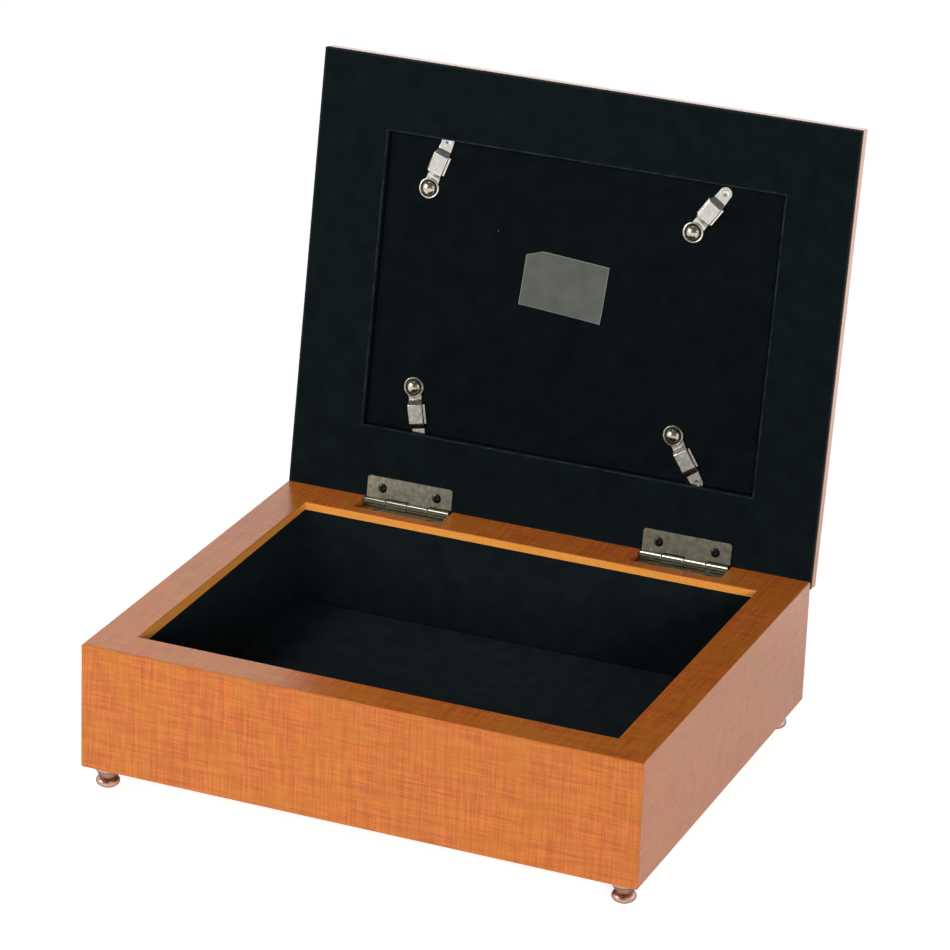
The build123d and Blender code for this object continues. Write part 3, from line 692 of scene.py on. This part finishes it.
def makeHinges():
    h = hingeForm
    axis = Vector(lidHinge["pos_m"])

    def onKnuckle(edge):
        first, second = (v.co - axis for v in edge.verts)
        square = abs(first.x - second.x) < 0.01 * mm
        return square and all(abs(p.yz.length - barrelRadius) < h["roll"] for p in (first, second))

    for node in [n for n in nodes if n.endswith("_leaf")]:
        shape = nodeShape(node)
        # painted highlight: the eased edges of the leaves are marked to be painted bright
        edgeHighlight = shape.faces.layers.float.new("edgeHighlight")
        ends = [e for e in shape.edges if len(e.link_faces) == 2
                and e.calc_face_angle() > h["knuckleTurn"] and onKnuckle(e)]
        bevelEdges(shape, ends, h["knuckleEnd"], 1)
        for face in easeEdges(shape, h["edge"], 1, h["sharper"])["faces"]:
            face[edgeHighlight] = 1.0
        addPiece(node + "_worn", shape, hingeMetal, node, sharp=40)
    for node in ("base_hinge_screws", "lid_hinge_screws"):
        shape = nodeShape(node)
        easeEdges(shape, h["screwEdge"], 2)
        addPiece(node + "_dark", shape, screwMetal, node, sharp=40)


groundPane = {"gap": 0.06 * mm, "edge": 0.1 * mm}


def makePane():
    # the glass, a hair clear of the card behind it and of the frame's lip, with its edges ground
    shape = nodeShape("window_glass")
    outward = lidSpace.col[2].xyz
    for face in shape.faces:
        if abs(face.normal.dot(outward)) > 0.99:
            bmesh.ops.translate(shape, vec=-face.normal * groundPane["gap"], verts=face.verts[:])
    easeEdges(shape, groundPane["edge"], 1)
    addPiece("ground_pane", shape, glass, "window_glass")


tagForm = {                     # millimetres
    "width": 37.8,
    "height": 25.0,
    "thick": 0.2,
    "turn": math.radians(4.1),
    "foldX": 7.3,
    "foldY": 2.9,
    "columns": 24,
    "rows": 16,
    "border": 0.45,             # where the cut edge has frayed light
    "curl": 0.5,                # lift of the free corners
}


def makeTag():
    # bare card tag with one corner folded back and its ends curling off the cloth
    t = tagForm
    width, height = t["width"], t["height"]
    low, high = lidBox("board_label")
    rise = (height * math.cos(t["turn"]) + width * math.sin(t["turn"])) * mm
    center = Vector(((low.x + high.x) / 2, low.y + rise / 2, low.z))
    shape = bmesh.new()
    bmesh.ops.create_grid(shape, x_segments=t["columns"], y_segments=t["rows"], size=0.5)
    edge = shape.verts.layers.float.new("edge")

    def spread(place, count, length):
        # a narrow border at both ends and even steps between
        k = round((place + 0.5) * count)
        if k in (0, count):
            return place * length
        return ((k - 1) / (count - 2) - 0.5) * (length - 2 * t["border"])

    for vert in shape.verts:
        vert[edge] = float(max(abs(vert.co.x), abs(vert.co.y)) > 0.499)  # on the cut edge
        x = spread(vert.co.x, t["columns"], width)
        y = spread(vert.co.y, t["rows"], height)
        fold = max((t["foldX"] - width / 2 - x) / t["foldX"], 0)
        y -= t["foldY"] * fold * (y / height + 0.5)
        corner = max(-4 * x * y / width / height, 0)
        lift = t["curl"] * (0.6 * abs(2 * x / width) ** 4 + corner ** 3)
        vert.co = Vector((x, y, t["thick"] + lift)) * mm
    place = lidSpace @ Matrix.Translation(center) @ Matrix.Rotation(-t["turn"], 4, "Z")
    bmesh.ops.transform(shape, matrix=place, verts=shape.verts[:])
    piece = addPiece("card_tag", shape, tagCard, "board_label")
    thick = piece.modifiers.new("thickness", "SOLIDIFY")
    thick.thickness = t["thick"] * mm
    thick.offset = -1


makeLining()
makeLidCloth()
makeFeet()
makeRivets()
makeEyeShadeRing()
makeClips()
makeHinges()
makePane()
makeTag()


# camera, floor and light

cameraPlace = {
    "location": (0.64490, -1.57330, 0.81840),
    "yaw": 22.071,              # degrees, looking to the left of +Y
    "pitch": 22.150,            # degrees, looking down
    "roll": 2.157,
    "lens": 171.24,             # millimetres, on a sensor this many wide
    "sensor": 36,
    "clip": (0.1, 40),
}


def placeCamera():
    c = cameraPlace
    yaw, pitch, roll = (math.radians(c[k]) for k in ("yaw", "pitch", "roll"))
    look = Vector((-math.sin(yaw) * math.cos(pitch), math.cos(yaw) * math.cos(pitch), -math.sin(pitch)))
    side = Vector((math.cos(yaw), math.sin(yaw), 0))
    rise = side.cross(look)
    right = math.cos(roll) * side + math.sin(roll) * rise
    up = math.cos(roll) * rise - math.sin(roll) * side
    data = bpy.data.cameras.new("camera")
    data.lens = c["lens"]
    data.sensor_width = c["sensor"]
    data.clip_start, data.clip_end = c["clip"]
    camera = bpy.data.objects.new("camera", data)
    bpy.context.scene.collection.objects.link(camera)
    turn = Matrix((right, up, -look)).transposed().to_4x4()
    camera.matrix_world = Matrix.Translation(c["location"]) @ turn
    bpy.context.scene.camera = camera


studio = {
    "floorSize": 12.0,
    "floorColor": "F0F0EE",
    "floorGlow": 0.79,          # shown to the camera only
    # how bright reflections show the floor: y of two places, and the levels there
    "floorFront": (-1.6, -0.95, 1.9, 0.0),
    "floorFar": (-2.5, -1.9, 0.1, 1.0),
    "floorNear": (-0.45, -0.05, 0.30, 0.56),
    "floorBack": (0.15, 0.50, 0.0, 1.1),
    # light from the walls and the dark ceiling: two rises, and the levels there
    "fill": (0.3, 0.75, 0.44, 0.11),
    # the white backdrop, and the dim room in front, as reflections show them
    "backdrop": (0.15, 0.75, 1.9, 0.1),
    "room": (0.1, 0.6, 0.2, 0.1),
    "backdropStart": (-0.4, 0.1, 0.0, 1.0),
    # narrow light box above, a little to the left: its near edge, its width and its level
    "overheadX": -0.35,
    "overheadEdge": (0.925, 0.937, 0.0, 1.0),
    "overheadWidth": (0.1, 0.06, 0.0, 1.0),
    "overheadLevel": 5.0,
    # windows of the dim room: direction, and cosines of the soft edge with the levels there
    "windows": (((-0.65, -0.71, 0.25), (0.955, 0.985, 0.0, 3.0)),
                ((0.74, -0.58, 0.33), (0.965, 0.99, 0.0, 1.5))),
    "lamps": {                  # place, width of the square, power, whether reflections show it
        "key": ((1.75, -2.75, 0.85), 0.9, 56, False),
        "side": ((-0.30, -0.32, 0.52), 0.18, 1.2, False),
        "window": ((-1.25, -0.98, 0.60), 0.42, 3.2, True),
    },
    "lampsAim": (0, 0, 0.1),
}


def rangeOf(value, ends):
    # settings that take a value from between two ends to between two levels
    return dict(zip(("Value", "From Min", "From Max", "To Min", "To Max"), (value, *ends)))


def makeFloor():
    # Seamless pale paper: white to the camera, and lit in bands where metal and lacquer mirror it.
    s = studio
    data = bpy.data.meshes.new("floor")
    shape = bmesh.new()
    bmesh.ops.create_grid(shape, x_segments=1, y_segments=1, size=s["floorSize"] / 2)
    shape.to_mesh(data)
    shape.free()
    floor = bpy.data.objects.new("floor", data)
    bpy.context.scene.collection.objects.link(floor)
    material = newMaterial("palePaperFloor")
    path = addNode(material, "LightPath").outputs
    along = addNode(material, "TexCoord").outputs["Object"]
    along = addNode(material, "SeparateXYZ", {0: along}).outputs["Y"]
    front, far, near, back = (addNode(material, "MapRange", rangeOf(along, s[k]))
                              for k in ("floorFront", "floorFar", "floorNear", "floorBack"))
    level = addNode(material, "Math", {"operation": "MULTIPLY", 0: front, 1: far})
    level = addNode(material, "Math", {"operation": "MAXIMUM", 0: level, 1: near})
    level = addNode(material, "Math", {"operation": "ADD", 0: level, 1: back})
    mirrored = addNode(material, "Math", {"operation": "MAXIMUM", 0: path["Is Glossy Ray"],
                                          1: path["Is Transmission Ray"]})
    mirrored = addNode(material, "Math", {"operation": "MULTIPLY", 0: mirrored, 1: level})
    glow = addNode(material, "Math", {"operation": "MULTIPLY", 0: path["Is Camera Ray"], 1: s["floorGlow"]})
    glow = addNode(material, "Math", {"operation": "MAXIMUM", 0: glow, 1: mirrored})
    paper = addNode(material, "BsdfDiffuse", {"Color": s["floorColor"]})
    light = addNode(material, "Emission", {"Strength": glow})
    surface = addNode(material, "AddShader", {0: paper, 1: light})
    addNode(material, "OutputMaterial", {"Surface": surface})
    data.materials.append(material)


def makeSurroundings():
    # white to the camera, a soft fill to matt surfaces, and a studio with windows to shiny ones
    s = studio
    world = bpy.data.worlds.new("studio")
    world.use_nodes = True
    world.node_tree.nodes.clear()
    direction = addNode(world, "TexCoord").outputs["Generated"]
    x, y, z = addNode(world, "SeparateXYZ", {0: direction}).outputs
    fill = addNode(world, "MapRange", rangeOf(z, s["fill"]))
    room = addNode(world, "MapRange", rangeOf(z, s["room"]))
    backdrop = addNode(world, "MapRange", rangeOf(z, s["backdrop"]))
    behind = addNode(world, "MapRange", rangeOf(y, s["backdropStart"]))
    mirror = addNode(world, "Mix", {"data_type": "FLOAT", 0: behind, 2: room, 3: backdrop})
    aside = addNode(world, "Math", {"operation": "SUBTRACT", 0: x, 1: s["overheadX"]})
    aside = addNode(world, "Math", {"operation": "ABSOLUTE", 0: aside})
    strip = addNode(world, "Math", {"operation": "MULTIPLY",
                                    0: addNode(world, "MapRange", rangeOf(z, s["overheadEdge"])),
                                    1: addNode(world, "MapRange", rangeOf(aside, s["overheadWidth"]))})
    strip = addNode(world, "Math", {"operation": "MULTIPLY", 0: strip, 1: s["overheadLevel"]})
    mirror = addNode(world, "Math", {"operation": "ADD", 0: mirror, 1: strip})
    for toward, edge in s["windows"]:
        near = addNode(world, "VectorMath", {"operation": "DOT_PRODUCT", 0: direction,
                                             1: Vector(toward).normalized()}).outputs["Value"]
        light = addNode(world, "MapRange", rangeOf(near, edge))
        mirror = addNode(world, "Math", {"operation": "ADD", 0: mirror, 1: light})
    path = addNode(world, "LightPath").outputs
    mirrored = addNode(world, "Math", {"operation": "MAXIMUM", 0: path["Is Glossy Ray"],
                                       1: path["Is Transmission Ray"]})
    level = addNode(world, "Mix", {"data_type": "FLOAT", 0: mirrored, 2: fill, 3: mirror})
    level = addNode(world, "Math", {"operation": "MAXIMUM", 0: level, 1: path["Is Camera Ray"]})
    sky = addNode(world, "Background", {"Color": "FFFFFF", "Strength": level})
    addNode(world, "OutputWorld", {"Surface": sky})
    bpy.context.scene.world = world


def placeLamps():
    for name, (place, width, power, mirrored) in studio["lamps"].items():
        data = bpy.data.lights.new(name, "AREA")
        data.shape = "SQUARE"
        data.size = width
        data.energy = power
        lamp = bpy.data.objects.new(name, data)
        bpy.context.scene.collection.objects.link(lamp)
        toward = Vector(studio["lampsAim"]) - Vector(place)
        lamp.location = place
        lamp.rotation_euler = toward.to_track_quat("-Z", "Y").to_euler()
        lamp.visible_glossy = mirrored


placeCamera()
makeFloor()
makeSurroundings()
placeLamps()
bpy.context.scene.view_settings.view_transform = "Standard"
print("camera, floor and light")
